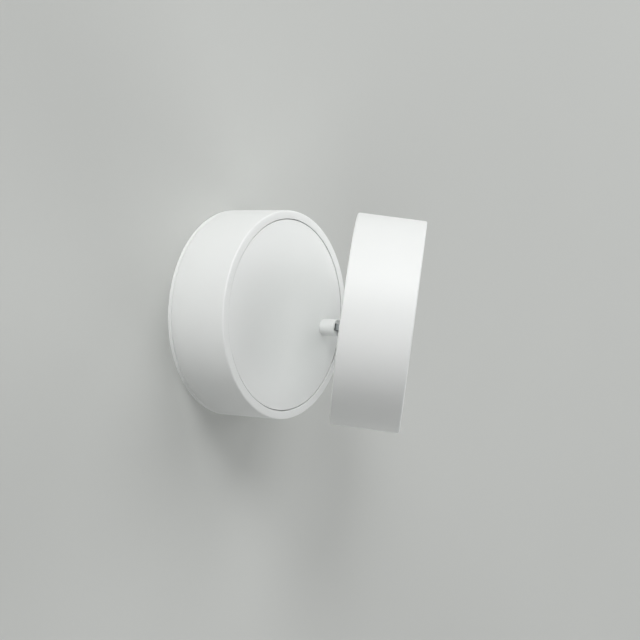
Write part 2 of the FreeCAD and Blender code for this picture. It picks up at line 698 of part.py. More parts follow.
lead_level = dim("lead_level", driver_back + lead_entry_height)
lead_loop_z = dim("lead_loop_z", terminal_centre_z + terminal_width / 2 + supply_loop)
driver_lead_x = dim("driver_lead_x", driver_right - driver_lead_setback)
driver_lead_level = dim("driver_lead_level", plate_thickness + driver_lead_height)


def supply_leads():
    wire_level = size["terminal_wire_level"]
    routes = []
    for x in (size["pole_x"], -size["pole_x"]):
        routes.append([
            (x, -wire_level, size["terminal_centre_z"]), (x, -wire_level, lead_loop_z),
            (x, -lead_level, lead_loop_z), (x, -lead_level, size["driver_inner_side"]),
        ])
    lead_node("SupplyLeads", "supply_leads", routes)


def driver_lead():
    route = [
        (driver_lead_x, -driver_rim, 0), (driver_lead_x, -driver_lead_level, 0),
        (stem_offset, -driver_lead_level, 0), (stem_offset, -spindle_back, 0),
    ]
    lead_node("DriverLead", "driver_lead", [route])


def arm_stem():
    dim("tongue_socket_radius", tongue_spigot_radius + push_clearance)
    body = turned("ArmStem", [
        ("lead_bore_radius", "-spindle_back"), ("spindle_radius", "-spindle_back"),
        ("spindle_radius", "-stem_root"), ("stem_radius", "-stem_root"),
        ("stem_radius", "-stem_end"), ("stem_mouth_radius", "-stem_end"),
        ("stem_mouth_radius", "-mouth_floor"), ("tongue_socket_radius", "-mouth_floor"),
        ("tongue_socket_radius", "-socket_bottom"), ("lead_bore_radius", "-socket_bottom"),
    ])
    soften(body, "Chamfer", "seam_bevel",
           [("stem_radius", "-stem_end"), ("stem_mouth_radius", "-stem_end")])
    keep(move(body, x="stem_offset"), "arm_stem")


def hinge_tongue():
    half = dim("tongue_half", tongue_width / 2)
    dim("tongue_left", stem_offset - half)
    dim("tongue_right", stem_offset + half)
    dim("tongue_side", tongue_thickness / 2)
    dim("tongue_bore_length", tongue_spigot_length + tongue_bore_depth)
    spigot = rod("TongueSpigot", "tongue_spigot_radius", "-socket_bottom",
                 "tongue_spigot_length", x="stem_offset")
    blade = block("TongueBlade", ("tongue_left", "tongue_right"), ("-hinge_y", "-mouth_floor"),
                  ("-tongue_side", "tongue_side"))
    eye = pin_rod("TongueEye", "tongue_half", "-tongue_side", "tongue_thickness",
                  "stem_offset", "-hinge_y")
    hole = pin_rod("TongueHole", "pin_bore", "-tongue_side", "tongue_thickness",
                   "stem_offset", "-hinge_y")
    bore = rod("TongueBore", "tongue_bore_radius", "-socket_bottom", "tongue_bore_length",
               x="stem_offset")
    keep(cut("HingeTongue", join("TongueBody", [spigot, blade, eye]), [hole, bore]), "hinge_tongue")


def swivel_stack():
    dim("stop_left", stem_offset + spindle_radius + screw_clearance)
    dim("stop_right", stem_offset + stop_reach)
    dim("stop_half", stop_width / 2)
    outer = rod("StopDisc", "washer_radius", "-stop_back", "washer_thickness", x="stem_offset")
    tab = block("StopTab", ("stop_left", "stop_right"), ("-bush_back", "-stop_back"),
                ("-stop_half", "stop_half"))
    hole = rod("StopHole", "washer_bore", "-stop_back", "washer_thickness", x="stem_offset")
    keep(cut("StopWasher", join("StopPlate", [outer, tab]), [hole]), "stop_washer")
    keep(ring("WaveWasher", "washer_bore", "washer_radius", "-wave_back", "washer_thickness",
              x="stem_offset"), "wave_washer")
    keep(ring("FlatWasher", "washer_bore", "washer_radius", "-flat_back", "washer_thickness",
              x="stem_offset"), "flat_washer")
    dim("nut_corner", nut_flats / 2 / math.cos(math.radians(30)))
    hexagon = doc.addObject("Part::Prism", "NutHexagon")
    hexagon.Polygon = 6
    bind(hexagon, Circumradius="nut_corner", Height="nut_height")
    hexagon.Placement = Placement(Vector(0, 0, 0), Rotation(Vector(1, 0, 0), 90))
    move(hexagon, x="stem_offset", y="-nut_back")
    hole = rod("NutHole", "washer_bore", "-nut_back", "nut_height", x="stem_offset")
    keep(cut("SwivelNut", hexagon, [hole]), "swivel_nut")


def stem_lead():
    dim("stem_lead_length", mouth_floor + tongue_bore_depth - spindle_back)
    solid = rod("StemLead", "lead_radius", "-spindle_back", "stem_lead_length", x="stem_offset")
    keep(solid, "stem_lead")


# The head, built closed with its back centre at the origin and its front towards -Y.
bracket_left = dim("bracket_left", stem_offset - bracket_width / 2)
bracket_right = dim("bracket_right", stem_offset + bracket_width / 2)
bracket_top = dim("bracket_top", back_wall + bracket_rise)
bridge_low = dim("bridge_low", bracket_top - cheek_thickness)
foot_top = dim("foot_top", back_wall + cheek_thickness)
foot_screw_z = dim("foot_screw_z", cheek_outside + foot_screw_reach)
bracket_span = dim("bracket_span", 2 * foot_outside)
head_slot_bottom = dim("head_slot_bottom", back_wall + over_cut)
blind_start = dim("blind_start", back_wall - screw_bite)


def head_shell():
    body = turned("HeadShellBody", [
        ("0", "0"), ("disc_radius", "0"), ("disc_radius", "-disc_depth"),
        ("rim_bore", "-disc_depth"), ("rim_bore", "-inset_back"),
        ("ledge_bore", "-inset_back"), ("ledge_bore", "-ledge_back"),
        ("bore_radius", "-ledge_back"), ("bore_radius", "-back_wall"), ("0", "-back_wall"),
    ])
    soften(body, "Fillet", "outer_round", [("disc_radius", "-disc_depth"), ("disc_radius", "0")])
    soften(body, "Chamfer", "seam_bevel", [("rim_bore", "-disc_depth")])
    tools = [block("HeadSlot", ("slot_near", "slot_far"), ("-head_slot_bottom", "over_cut"),
                   ("-slot_half", "slot_half"))]
    for side in ("foot_screw_z", "-foot_screw_z"):
        name = f"FootHole{len(tools)}"
        tools.append(rod(name, "thread_hole", "-blind_start", "screw_bite",
                         x="stem_offset", z=side))
    keep(cut("HeadShell", body, tools), "head_shell", True)


def hinge_bracket():
    width = ("bracket_left", "bracket_right")
    dim("pin_room_radius", pin_head_radius + screw_clearance)
    dim("pin_room_start", -cheek_outside - pin_room_depth)
    parts = []
    tools = [pin_rod("CheekHole", "cheek_bore", "-foot_outside", "bracket_span",
                     "stem_offset", "-hinge_depth")]
    for side, cheek, foot in (("Upper", ("cheek_inside", "cheek_outside"),
                               ("cheek_outside", "foot_outside")),
                              ("Lower", ("-cheek_outside", "-cheek_inside"),
                               ("-foot_outside", "-cheek_outside"))):
        parts.append(block("Cheek" + side, width, ("-bracket_top", "-back_wall"), cheek))
        parts.append(block("Foot" + side, width, ("-foot_top", "-back_wall"), foot))
    parts.append(block("BracketBridge", width, ("-bracket_top", "-bridge_low"),
                       ("-cheek_outside", "cheek_outside")))
    tools.append(pin_rod("PinRoomUpper", "pin_room_radius", "cheek_outside",
                         "pin_room_depth", "stem_offset", "-hinge_depth"))
    tools.append(pin_rod("PinRoomLower", "pin_room_radius", "pin_room_start",
                         "pin_room_depth", "stem_offset", "-hinge_depth"))
    for side in ("foot_screw_z", "-foot_screw_z"):
        name = f"FootScrewHole{len(tools)}"
        tools.append(rod(name, "screw_hole", "-back_wall", "cheek_thickness",
                         x="stem_offset", z=side))
    keep(cut("HingeBracket", join("BracketBody", parts), tools), "hinge_bracket", True)
    dim("foot_screw_length", cheek_thickness + screw_bite)
    screws = []
    for number, side in enumerate(("foot_screw_z", "-foot_screw_z")):
        solid = screw(f"FootScrew{number}", "small", "-foot_top", "foot_screw_length", False)
        screws.append(move(solid, x="stem_offset", z=side))
    keep(group("BracketScrews", screws), "bracket_screws", True)


def hinge_pin():
    dim("pin_head_start", -cheek_outside - pin_head_height)
    dim("pin_length", 2 * cheek_outside + pin_tail)
    shank = pin_rod("PinShank", "pin_radius", "-cheek_outside", "pin_length",
                    "stem_offset", "-hinge_depth")
    head = pin_rod("PinHead", "pin_head_radius", "pin_head_start", "pin_head_height",
                   "stem_offset", "-hinge_depth")
    keep(join("HingePin", [shank, head]), "hinge_pin", True)
    outer = pin_rod("PinClipOuter", "pin_head_radius", "cheek_outside", "pin_clip_thickness",
                    "stem_offset", "-hinge_depth")
    inner = pin_rod("PinClipInner", "cheek_bore", "cheek_outside", "pin_clip_thickness",
                    "stem_offset", "-hinge_depth")
    keep(cut("PinClip", outer, [inner]), "pin_clip", True)


def hinge_washers():
    inside = dim("friction_inside", tongue_thickness / 2 + running_clearance / 2)
    dim("friction_outside", -inside - friction_washer)
    washers = []
    for side, low in (("Upper", "friction_inside"), ("Lower", "friction_outside")):
        outer = pin_rod("Friction" + side, "tongue_half", low, "friction_washer",
                        "stem_offset", "-hinge_depth")
        inner = pin_rod("FrictionHole" + side, "pin_bore", low, "friction_washer",
                        "stem_offset", "-hinge_depth")
        washers.append(cut("FrictionWasher" + side, outer, [inner]))
    keep(group("HingeWashers", washers), "hinge_washers", True)


post_angles = (90, 210, 330)


def heat_sink():
    plate = rod("SinkPlate", "sink_radius", "-sink_back", "sink_plate")
    half = fin_thickness / 2
    fins = []
    for number in range(fin_count):
        middle = (number - (fin_count - 1) / 2) * fin_pitch
        low = f"fin{number}_low"
        high = f"fin{number}_high"
        dim(low, middle - half)
        dim(high, middle + half)
        fins.append(block(f"Fin{number}", ("-fin_radius", "fin_radius"), ("-sink_back", "-fin_back"),
                          (low, high)))
    bound = rod("FinBound", "fin_radius", "-fin_back", "fin_height")
    common = doc.addObject("Part::Common", "FinsInCircle")
    common.Base = join("Fins", fins)
    common.Tool = bound
    dim("post_length", sink_back - back_wall)
    dim("sink_screw_length", sink_plate + sink_bite)
    dim("post_bore_start", sink_back - sink_bite)
    holes = around("SinkHole", "screw_hole", "-sink_back", "sink_plate", "post_circle", post_angles)
    keep(cut("HeatSink", join("SinkBody", [plate, common]), holes), "heat_sink", True)
    post = cut("SinkPost", rod("PostBody", "post_radius", "-back_wall", "post_length"),
               [rod("PostBore", "thread_hole", "-post_bore_start", "sink_bite")])
    keep(spread("SinkPosts", post, "post_circle", post_angles), "sink_posts", True)
    solid = screw("SinkScrew", "small", "-sink_front", "sink_screw_length", False)
    keep(spread("SinkScrews", solid, "post_circle", post_angles), "sink_screws", True)


def led_module():
    dim("chip_front", led_face + chip_height)
    board = rod("LedBoardDisc", "led_board_radius", "-sink_front", "board_thickness")
    keep(group("LedBoard", [board]), "led_board", True)
    chip = rod("LedChipDisc", "chip_radius", "-led_face", "chip_height")
    keep(group("LedChip", [chip]), "led_chip", True)
    dim("holder_skirt", led_board_radius + clip_clearance)
    dim("holder_bore", chip_radius + clip_clearance)
    body = turned("LedHolderBody", [
        ("holder_bore", "-led_face"), ("holder_skirt", "-led_face"),
        ("holder_skirt", "-sink_front"), ("holder_radius", "-sink_front"),
        ("holder_radius", "-holder_front"), ("reflector_throat", "-holder_front"),
    ])
    keep(body, "led_holder", True)


def reflector():
    """A bowl of flat rings, steep at the throat and flatter towards the mouth."""
    inside = []
    outside = []
    for number in range(reflector_rings + 1):
        share = number / reflector_rings
        radius = f"bowl{number}_radius"
        back = f"bowl{number}_back"
        level = f"bowl{number}_level"
        dim(radius, reflector_throat + (reflector_mouth - reflector_throat) * math.sqrt(share))
        dim(back, size[radius] + reflector_wall)
        dim(level, reflector_back + reflector_depth * share)
        inside.append((radius, "-" + level))
        outside.append((back, "-" + level))
    keep(turned("Reflector", inside + outside[::-1]), "reflector", True)


retainer_angles = (90, 210, 330)


def front_optics():
    dim("retainer_inner", reflector_mouth + reflector_wall + clip_clearance)
    dim("retainer_circle", (retainer_bore + retainer_radius) / 2)
    dim("flare_radius", opening_radius + opening_flare)
    glass = rod("FrontGlassDisc", "glass_radius", "-glass_back", "glass_thickness")
    keep(group("FrontGlass", [glass]), "front_glass", True)
    body = turned("GlassRetainerBody", [
        ("retainer_inner", "-retainer_back"), ("retainer_radius", "-retainer_back"),
        ("retainer_radius", "-inset_back"), ("retainer_bore", "-inset_back"),
        ("retainer_bore", "-glass_back"), ("retainer_inner", "-glass_back"),
    ])
    dim("retainer_depth", inset_back - retainer_back)
    dim("retainer_screw_length", inset_back - retainer_back + screw_bite)
    holes = around("RetainerHole", "screw_hole", "-retainer_back", "retainer_depth",
                   "retainer_circle", retainer_angles)
    keep(cut("GlassRetainer", body, holes), "glass_retainer", True)
    solid = screw("RetainerScrew", "small", "-retainer_back", "retainer_screw_length", True)
    keep(spread("RetainerScrews", solid, "retainer_circle", retainer_angles),
         "retainer_screws", True)
    plate = turned("FrontPlateBody", [
        ("opening_radius", "-inset_back"), ("inset_radius", "-inset_back"),
        ("inset_radius", "-inset_face"), ("flare_radius", "-inset_face"),
    ])
    soften(plate, "Chamfer", "seam_bevel", [("inset_radius", "-inset_face")])
    holes = around("PlateHole", "thread_hole", "-inset_back", "screw_bite",
                   "retainer_circle", retainer_angles)
    keep(cut("FrontPlate", plate, holes), "front_plate", True)


def front_clips():
    dim("clip_outside", ledge_bore - clip_clearance)
    dim("clip_inside", size["clip_outside"] - clip_thickness)
    dim("clip_tip", ledge_bore + clip_hook)
    dim("clip_under", ledge_back - running_clearance)
    dim("clip_back", size["clip_under"] - clip_thickness)
    dim("clip_half", clip_width / 2)
    leg = block("ClipLeg", ("clip_inside", "clip_outside"), ("-inset_back", "-clip_back"),
                ("-clip_half", "clip_half"))
    hook = block("ClipHook", ("clip_inside", "clip_tip"), ("-clip_under", "-clip_back"),
                 ("-clip_half", "clip_half"))
    clip = join("FrontClip", [leg, hook])
    clips = []
    for number in range(clip_count):
        angle = first_clip_angle + number * 360 / clip_count
        copy = doc.addObject("Part::Compound", f"FrontClip{number}")
        copy.Links = [clip]
        copy.Placement = Placement(Vector(0, 0, 0), Rotation(Vector(0, 1, 0), angle))
        clips.append(copy)
    keep(group("FrontClips", clips), "front_clips", True)


def head_lead():
    """From beside the hinge, over the heat sink's edge, to the lamp holder."""
    level = (led_face + holder_front) / 2
    angle = math.radians(head_lead_angle)
    reach = sink_radius + head_lead_sweep
    near = holder_radius + running_clearance
    route = [
        (stem_offset + tongue_bore_radius, -bracket_top, cheek_outside + head_lead_gap),
        (stem_offset, -bracket_top - head_lead_gap, head_lead_bend_z),
        (reach * math.cos(angle), -level, reach * math.sin(angle)),
        (near * math.cos(angle), -level, near * math.sin(angle)),
    ]
    lead_node("HeadLead", "head_lead", [route], True)


wall_plate()
cable_grommet()
terminal_block()
earth_screw()
base_shell()
shell_grub_screws()
base_cover()
cover_screws()
stop_pin()
swivel_bush()
driver()
driver_board()
supply_leads()
driver_lead()
arm_stem()
hinge_tongue()
swivel_stack()
stem_lead()
head_shell()
hinge_bracket()
hinge_pin()
hinge_washers()
heat_sink()
led_module()
reflector()
front_optics()
front_clips()
head_lead()

doc.recompute()
for item in doc.Objects:
    if "Invalid" in item.State or "Error" in item.State:
        raise SystemExit(f"{item.Name} failed: {item.State}")
for item in nodes:
    if item.Shape.isNull() or not item.Shape.isValid():
        raise SystemExit(f"{item.Label} has no valid shape")

os.makedirs("parts", exist_ok=True)
for item in nodes:
    item.Shape.exportStep(f"parts/{item.Label}.step")
    print(item.Label, len(item.Shape.Solids), "solids", round(item.Shape.Volume, 1), "mm3")
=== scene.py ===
import json
import math
import bpy
import bmesh
from mathutils import Matrix, Vector


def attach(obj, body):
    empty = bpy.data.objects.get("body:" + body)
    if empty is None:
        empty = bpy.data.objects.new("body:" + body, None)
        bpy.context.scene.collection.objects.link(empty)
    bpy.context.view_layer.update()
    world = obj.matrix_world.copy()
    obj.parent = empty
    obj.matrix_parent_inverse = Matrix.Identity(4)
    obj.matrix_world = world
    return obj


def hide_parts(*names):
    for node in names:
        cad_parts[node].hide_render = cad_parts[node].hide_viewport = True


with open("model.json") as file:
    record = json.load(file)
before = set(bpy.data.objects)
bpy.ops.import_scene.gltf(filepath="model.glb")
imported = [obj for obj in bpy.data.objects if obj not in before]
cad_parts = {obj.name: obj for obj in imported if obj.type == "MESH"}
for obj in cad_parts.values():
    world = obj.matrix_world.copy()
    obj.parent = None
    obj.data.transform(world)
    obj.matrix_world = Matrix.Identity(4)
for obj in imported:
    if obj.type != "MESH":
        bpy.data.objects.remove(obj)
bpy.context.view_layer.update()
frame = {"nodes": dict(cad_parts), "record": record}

mm = 0.001

# sizes in mm; levels run from the wall (0) into the room
disc = dict(radius=60.0, depth=39.0, wall=3.0, rimBore=55.25, insetRadius=54.75, recess=0.3,
            insetThickness=2.5, ledgeBore=49.5, ledgeThickness=2.0, backWall=2.5,
            edgeRound=0.9, backRound=0.3, seamRound=0.12, segments=256)
plate = dict(thickness=2.0, seam=0.4, spigotRadius=56.8, spigotBore=54.6, spigotTop=8.0,
             cableHole=8.0, slotSpacing=60.0, slotLength=12.0, slotWidth=4.6,
             earthX=-25.0, earthZ=27.0, earthHole=2.02, grubLevel=5.6, grubHole=1.27,
             grubAngles=(75.0, -75.0), backRound=0.15, edgeRound=0.45, spigotRound=0.3)
stem = dict(offset=38.0, radius=5.0, length=10.0, gap=0.15, spindle=3.6, spindleBack=28.0,
            leadBore=1.6, mouthRadius=3.9, mouthDepth=2.5, socket=3.22, socketDepth=5.0,
            backRound=0.2, endRound=0.35, mouthRound=0.25, bushHole=4.67,
            hingeReach=21.4, hingeDepth=5.0, tilt=32.0)
past = 1.0  # how far a cutter runs past the faces that it cuts

insetFace = disc["depth"] - disc["recess"]
insetBack = insetFace - disc["insetThickness"]
ledgeBack = insetBack - disc["ledgeThickness"]
shellBore = disc["radius"] - disc["wall"]
hingeLevel = disc["depth"] + stem["hingeReach"]

# the head is shaped closed, back at level 0, then swung about the hinge pin
headSpot = (Matrix.Translation(Vector((stem["offset"], -hingeLevel, 0)) * mm)
            @ Matrix.Rotation(math.radians(stem["tilt"]), 4, "Z")
            @ Matrix.Translation(Vector((-stem["offset"], stem["hingeDepth"], 0)) * mm))


def toLinear(code):
    parts = [int(code[i:i + 2], 16) / 255 for i in (1, 3, 5)]
    return [c / 12.92 if c <= 0.04045 else ((c + 0.055) / 1.055) ** 2.4 for c in parts] + [1.0]


def addNode(tree, kind, settings=None, links=None, **attributes):
    node = tree.nodes.new(kind)
    for name, value in attributes.items():
        setattr(node, name, value)
    for key, value in (settings or {}).items():
        node.inputs[key].default_value = value
    for key, source in (links or {}).items():
        tree.links.new(source, node.inputs[key])
    return node


def newMaterial(name, **shader):
    material = bpy.data.materials.new(name)
    material.use_nodes = True
    tree = material.node_tree
    tree.nodes.clear()
    surface = addNode(tree, "ShaderNodeBsdfPrincipled", shader)
    addNode(tree, "ShaderNodeOutputMaterial", links={"Surface": surface.outputs[0]})
    spots = addNode(tree, "ShaderNodeTexCoord").outputs["Object"]
    return material, tree, surface, spots


def waves(tree, spots, sizeMm, detail=2.0, rough=0.5):
    # a noise whose features are about sizeMm across
    return addNode(tree, "ShaderNodeTexNoise", {"Scale": 1 / (sizeMm * mm), "Detail": detail,
                   "Roughness": rough}, {"Vector": spots}).outputs["Fac"]


def between(tree, factor, low, high):
    return addNode(tree, "ShaderNodeMapRange", {"From Min": 0.3, "From Max": 0.7,
                   "To Min": low, "To Max": high}, {"Value": factor}).outputs["Result"]


def tint(tree, factor, dark, light):
    mix = addNode(tree, "ShaderNodeMix", data_type="RGBA")
    mix.inputs["A"].default_value = toLinear(dark)
    mix.inputs["B"].default_value = toLinear(light)
    tree.links.new(factor, mix.inputs["Factor"])
    return mix.outputs["Result"]


def relief(tree, surface, height, depthMm, strength=1.0, under=None):
    links = {"Height": height}
    if under is not None:
        links["Normal"] = under
    bump = addNode(tree, "ShaderNodeBump", {"Strength": strength, "Distance": depthMm * mm}, links)
    tree.links.new(bump.outputs["Normal"], surface.inputs["Normal"])
    return bump.outputs["Normal"]


def powderCoat():
    # polyester powder baked on aluminium: soft sheen, faint orange peel 1.6 mm across, fine grit
    material, tree, surface, spots = newMaterial("powder_coat_white", IOR=1.5)
    broad = waves(tree, spots, 45, 3)
    peel = waves(tree, spots, 1.6, 1)
    grit = waves(tree, spots, 0.35, 2)
    tree.links.new(tint(tree, broad, "#EFF1F0", "#F4F5F4"), surface.inputs["Base Color"])
    tree.links.new(between(tree, peel, 0.46, 0.56), surface.inputs["Roughness"])
    soft = relief(tree, surface, peel, 0.02, 0.5)
    relief(tree, surface, grit, 0.008, 0.5, soft)
    return material


def zincSteel():
    # bright zinc plating on pressed and turned steel: cool grey with cloudy patches
    material, tree, surface, spots = newMaterial("zinc_plated_steel", Metallic=1.0)
    cloud = waves(tree, spots, 3.5, 4, 0.6)
    grain = waves(tree, spots, 0.4, 2)
    tree.links.new(tint(tree, cloud, "#A9ACAF", "#C4C7C9"), surface.inputs["Base Color"])
    tree.links.new(between(tree, cloud, 0.28, 0.42), surface.inputs["Roughness"])
    relief(tree, surface, grain, 0.01, 0.4)
    return material


def satinAluminium():
    # extruded and turned aluminium, lightly blasted: pale silver, even grain half a mm across
    material, tree, surface, spots = newMaterial("satin_aluminium", Metallic=1.0)
    grain = waves(tree, spots, 0.5, 3)
    patch = waves(tree, spots, 12, 2)
    tree.links.new(tint(tree, patch, "#C3C6C9", "#D2D4D6"), surface.inputs["Base Color"])
    tree.links.new(between(tree, grain, 0.34, 0.5), surface.inputs["Roughness"])
    relief(tree, surface, grain, 0.015, 0.5)
    return material


def mouldedPlastic(name, dark, light, rough, grainMm):
    # moulded engineering plastic with a spark-eroded texture
    material, tree, surface, spots = newMaterial(name, IOR=1.53)
    patch = waves(tree, spots, 9, 2)
    grain = waves(tree, spots, grainMm, 2)
    tree.links.new(tint(tree, patch, dark, light), surface.inputs["Base Color"])
    tree.links.new(between(tree, grain, rough - 0.07, rough + 0.07), surface.inputs["Roughness"])
    relief(tree, surface, grain, 0.02, 0.6)
    return material


def blackRubber():
    # moulded EPDM: near black with a dull bloom
    material, tree, surface, spots = newMaterial("black_epdm_rubber", IOR=1.52)
    bloom = waves(tree, spots, 4, 4, 0.6)
    tree.links.new(tint(tree, bloom, "#1B1B1C", "#2B2B2C"), surface.inputs["Base Color"])
    tree.links.new(between(tree, bloom, 0.6, 0.82), surface.inputs["Roughness"])
    relief(tree, surface, waves(tree, spots, 0.5, 2), 0.02, 0.6)
    return material


def circuitBoard():
    # green solder mask over copper tracks: the tracks show as lighter bands 1.2 mm wide
    material, tree, surface, spots = newMaterial("solder_mask_green", IOR=1.55, Roughness=0.3)
    track = addNode(tree, "ShaderNodeTexBrick", {"Scale": 1 / (6 * mm), "Mortar Size": 0.09,
                    "Mortar Smooth": 0.1, "Color1": toLinear("#0F4A2A"),
                    "Color2": toLinear("#12532F"), "Mortar": toLinear("#2F7A4C")},
                    {"Vector": spots})
    tree.links.new(track.outputs["Color"], surface.inputs["Base Color"])
    relief(tree, surface, track.outputs["Fac"], 0.035, 0.7)
    return material


def ledBoardFinish():
    # white solder mask on an aluminium core board: dense white with a slight shine
    material, tree, surface, spots = newMaterial("white_solder_mask", IOR=1.52)
    patch = waves(tree, spots, 2.5, 3)
    tree.links.new(tint(tree, patch, "#E6E7E2", "#F2F2EE"), surface.inputs["Base Color"])
    tree.links.new(between(tree, patch, 0.28, 0.36), surface.inputs["Roughness"])
    relief(tree, surface, waves(tree, spots, 0.8, 2), 0.01, 0.4)
    return material


def phosphor():
    # silicone filled with yellow phosphor: mustard, finely grainy, slightly wet
    material, tree, surface, spots = newMaterial("phosphor_silicone", IOR=1.41)
    grain = waves(tree, spots, 0.3, 3)
    tree.links.new(tint(tree, grain, "#D9A520", "#EDC447"), surface.inputs["Base Color"])
    tree.links.new(between(tree, grain, 0.25, 0.4), surface.inputs["Roughness"])
    relief(tree, surface, grain, 0.02, 0.6)
    return material


def brightReflector():
    # bright-anodised spun aluminium with a hammered pattern, each dimple about 2.6 mm
    material, tree, surface, spots = newMaterial("bright_anodised_reflector", Metallic=1.0)
    cells = addNode(tree, "ShaderNodeTexVoronoi", {"Scale": 1 / (2.6 * mm)}, {"Vector": spots})
    haze = waves(tree, spots, 6, 3)
    tree.links.new(tint(tree, haze, "#D5D7D9", "#E4E5E6"), surface.inputs["Base Color"])
    tree.links.new(between(tree, haze, 0.09, 0.16), surface.inputs["Roughness"])
    relief(tree, surface, cells.outputs["Distance"], 0.25, 0.5)
    return material


def clearGlass():
    # tempered float glass: clear, with the faint green of its iron in the edge
    material, tree, surface, spots = newMaterial("tempered_float_glass", IOR=1.5)
    surface.inputs["Transmission Weight"].default_value = 1.0
    haze = waves(tree, spots, 8, 3)
    tree.links.new(tint(tree, haze, "#F3F8F6", "#F8FBFA"), surface.inputs["Base Color"])
    tree.links.new(between(tree, haze, 0.0, 0.03), surface.inputs["Roughness"])
    return material


def siliconeSleeve():
    # silicone rubber lead: milky white, soft shine, dust on its skin
    material, tree, surface, spots = newMaterial("silicone_rubber_sleeve", IOR=1.41)
    dust = waves(tree, spots, 1.2, 3)
    tree.links.new(tint(tree, dust, "#D9D8D3", "#E9E8E3"), surface.inputs["Base Color"])
    tree.links.new(between(tree, dust, 0.4, 0.55), surface.inputs["Roughness"])
    relief(tree, surface, dust, 0.01, 0.4)
    return material


def paintedWall():
    # emulsion on plaster: flat pale grey with a roller's stipple about 3 mm across
    material, tree, surface, spots = newMaterial("emulsion_pale_grey", IOR=1.45)
    broad = waves(tree, spots, 260, 3)
    stipple = waves(tree, spots, 3, 2)
    tree.links.new(tint(tree, broad, "#C9CBC8", "#CDCFCC"), surface.inputs["Base Color"])
    tree.links.new(between(tree, stipple, 0.82, 0.95), surface.inputs["Roughness"])
    relief(tree, surface, stipple, 0.05, 0.25)
    return material


finishes = {
    "white_powder_coat": powderCoat(),
    "bare_aluminium": satinAluminium(),
    "zinc_plated_steel": zincSteel(),
    "black_rubber": blackRubber(),
    "nylon": mouldedPlastic("nylon_natural", "#D6D1C2", "#E2DECF", 0.5, 0.5),
    "white_nylon": mouldedPlastic("nylon_white", "#E0E0DB", "#EBEBE6", 0.45, 0.4),
    "driver_plastic": mouldedPlastic("polycarbonate_white", "#DDDEDB", "#E6E7E4", 0.42, 0.6),
    "circuit_board": circuitBoard(),
    "led_board_metal": ledBoardFinish(),
    "led_phosphor": phosphor(),
    "reflector_metal": brightReflector(),
    "clear_glass": clearGlass(),
    "silicone_lead": siliconeSleeve(),
}
finishes["white_stem_coat"] = finishes["white_powder_coat"]  # one powder for stem and discs
print("finishes:", len(finishes))

slotOf = {row["node"]: row["material_slot"] for row in frame["record"]["subparts"]}
for node, thing in frame["nodes"].items():
    thing.data.materials.clear()
    thing.data.materials.append(finishes[slotOf[node]])
print("CAD nodes dressed:", len(frame["nodes"]))


def turned(corners, rounds=None, segments=None, offset=0.0):
    # a closed outline of (radius, level), its corners rounded, spun about the disc's axis
    bm = bmesh.new()
    verts = [bm.verts.new((radius * mm, -level * mm, 0)) for radius, level in corners]
    bm.faces.new(verts)
    for amount in sorted(set((rounds or {}).values())):
        picked = [verts[i] for i, size in rounds.items() if size == amount]
        bmesh.ops.bevel(bm, geom=picked, offset=amount * mm, segments=5, profile=0.5,
                        affect="VERTICES", material=-1)
    bmesh.ops.delete(bm, geom=bm.faces[:], context="FACES_ONLY")
    bmesh.ops.spin(bm, geom=bm.verts[:] + bm.edges[:], cent=(0, 0, 0), axis=(0, 1, 0),
                   angle=math.tau, steps=segments or disc["segments"], use_merge=True)
    bmesh.ops.remove_doubles(bm, verts=bm.verts, dist=1e-7)
    bmesh.ops.dissolve_degenerate(bm, edges=bm.edges, dist=1e-7)
    bmesh.ops.recalc_face_normals(bm, faces=bm.faces)
    bmesh.ops.translate(bm, verts=bm.verts, vec=(offset * mm, 0, 0))
    return bm


def rod(radius, start, end, x=0.0, z=0.0, segments=64):
    # a plain cutter or rod along the disc's axis, between two levels
    bm = bmesh.new()
    spot = (Matrix.Translation(Vector((x, -(start + end) / 2, z)) * mm)
            @ Matrix.Rotation(math.pi / 2, 4, "X"))
    bmesh.ops.create_cone(bm, cap_ends=True, segments=segments, radius1=radius * mm,
                          radius2=radius * mm, depth=abs(end - start) * mm, matrix=spot)
    return bm


def slab(low, high, roundAmount=0.0):
    # a box between two corners, its edges along the disc's axis rounded
    bm = bmesh.new()
    size = Vector(high) - Vector(low)
    middle = (Vector(high) + Vector(low)) / 2
    bmesh.ops.create_cube(bm, size=1.0, matrix=Matrix.Translation(middle * mm)
                          @ Matrix.Diagonal((*[s * mm for s in size], 1)))
    if roundAmount:
        upright = [e for e in bm.edges
                   if abs(e.verts[0].co.y - e.verts[1].co.y) > abs(size.y) * mm / 2]
        bmesh.ops.bevel(bm, geom=upright, offset=roundAmount * mm, segments=6, profile=0.5,
                        affect="EDGES", material=-1)
    return bm


def toObject(name, bm):
    mesh = bpy.data.meshes.new(name)
    bm.to_mesh(mesh)
    bm.free()
    thing = bpy.data.objects.new(name, mesh)
    bpy.context.scene.collection.objects.link(thing)
    return thing


def carve(thing, cutters):
    # takes each cutter out of a piece and keeps the result as its mesh
    for cutter in cutters:
        tool = toObject("cutter", cutter)
        cut = thing.modifiers.new("cut", "BOOLEAN")
        cut.operation = "DIFFERENCE"
        cut.solver = "EXACT"
        cut.object = tool
        graph = bpy.context.evaluated_depsgraph_get()
        carved = bpy.data.meshes.new_from_object(thing.evaluated_get(graph))
        thing.modifiers.clear()
        thing.data = carved
        bpy.data.objects.remove(tool)


def place(name, bm, node, body, cutters=(), inHead=False, sharp=32.0):
    thing = toObject(name, bm)
    carve(thing, cutters)
    if inHead:
        thing.data.transform(headSpot)
    thing.data.materials.clear()
    thing.data.materials.append(finishes[slotOf[node]])
    for face in thing.data.polygons:
        face.use_smooth = True
        face.material_index = 0
    thing.data.set_sharp_from_angle(angle=math.radians(sharp))
    thing.data.name = name
    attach(thing, body)
    return thing


